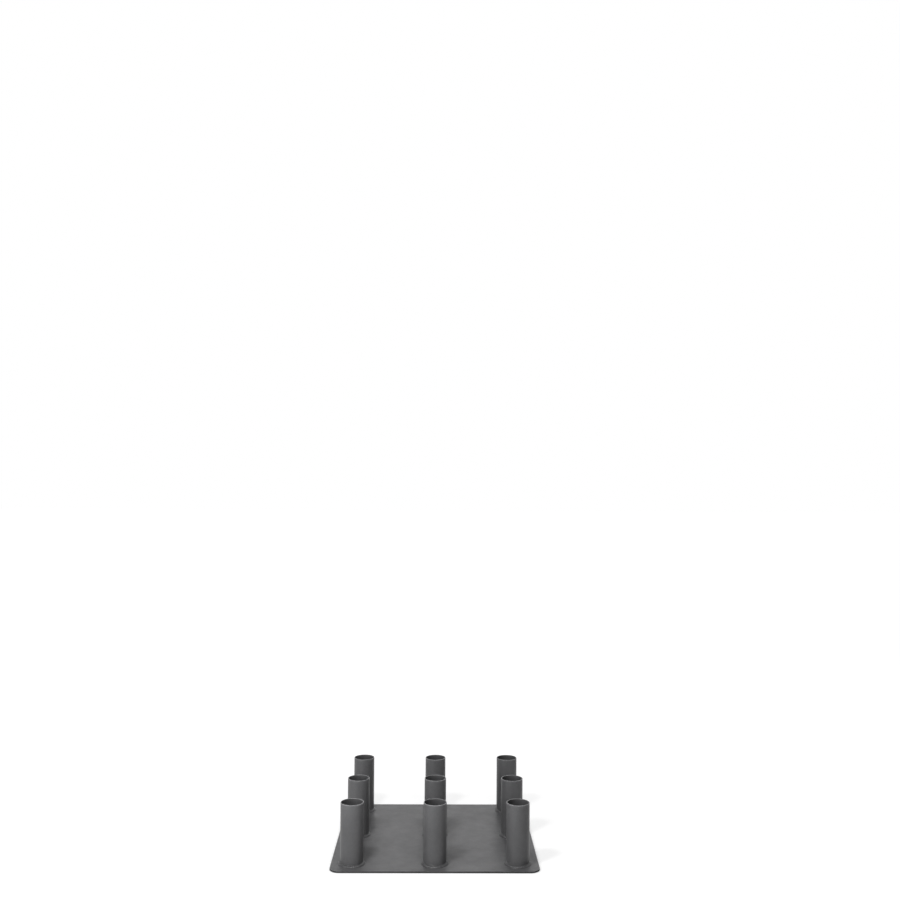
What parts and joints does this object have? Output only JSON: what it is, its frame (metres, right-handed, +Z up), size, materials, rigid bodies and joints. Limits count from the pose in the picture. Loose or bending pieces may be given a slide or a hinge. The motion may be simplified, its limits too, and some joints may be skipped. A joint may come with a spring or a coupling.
{
  "type": "barbell storage rack",
  "caption": "Low floor rack: a square steel plate with rounded corners carries a grid of upright open-topped tubes, welded round their feet, that barbells stand in on end.",
  "frame": {"origin": "centre of the plate's underside, on the floor", "axes": "+Z up along the tubes, -Y the front edge that faces the viewer, +X to the viewer's right"},
  "size_m": [0.5, 0.5, 0.15],
  "materials": {
    "powder_coat": "satin charcoal grey powder coat with a fine grain",
    "weld_coat": "the same powder coat, darker and a little glossier where it flowed over the weld ripples",
    "rubber": "matt black rubber sheet"
  },
  "bodies": {
    "root": {"base_plate": "powder_coat", "holder_tube_front_left": "powder_coat", "holder_tube_front_centre": "powder_coat", "holder_tube_front_right": "powder_coat", "holder_tube_middle_left": "powder_coat", "holder_tube_middle_centre": "powder_coat", "holder_tube_middle_right": "powder_coat", "holder_tube_rear_left": "powder_coat", "holder_tube_rear_centre": "powder_coat", "holder_tube_rear_right": "powder_coat", "weld_bead_front_left": "weld_coat", "weld_bead_front_centre": "weld_coat", "weld_bead_front_right": "weld_coat", "weld_bead_middle_left": "weld_coat", "weld_bead_middle_centre": "weld_coat", "weld_bead_middle_right": "weld_coat", "weld_bead_rear_left": "weld_coat", "weld_bead_rear_centre": "weld_coat", "weld_bead_rear_right": "weld_coat", "rest_disc_front_left": "rubber", "rest_disc_front_centre": "rubber", "rest_disc_front_right": "rubber", "rest_disc_middle_left": "rubber", "rest_disc_middle_centre": "rubber", "rest_disc_middle_right": "rubber", "rest_disc_rear_left": "rubber", "rest_disc_rear_centre": "rubber", "rest_disc_rear_right": "rubber"}
  },
  "joints": []
}
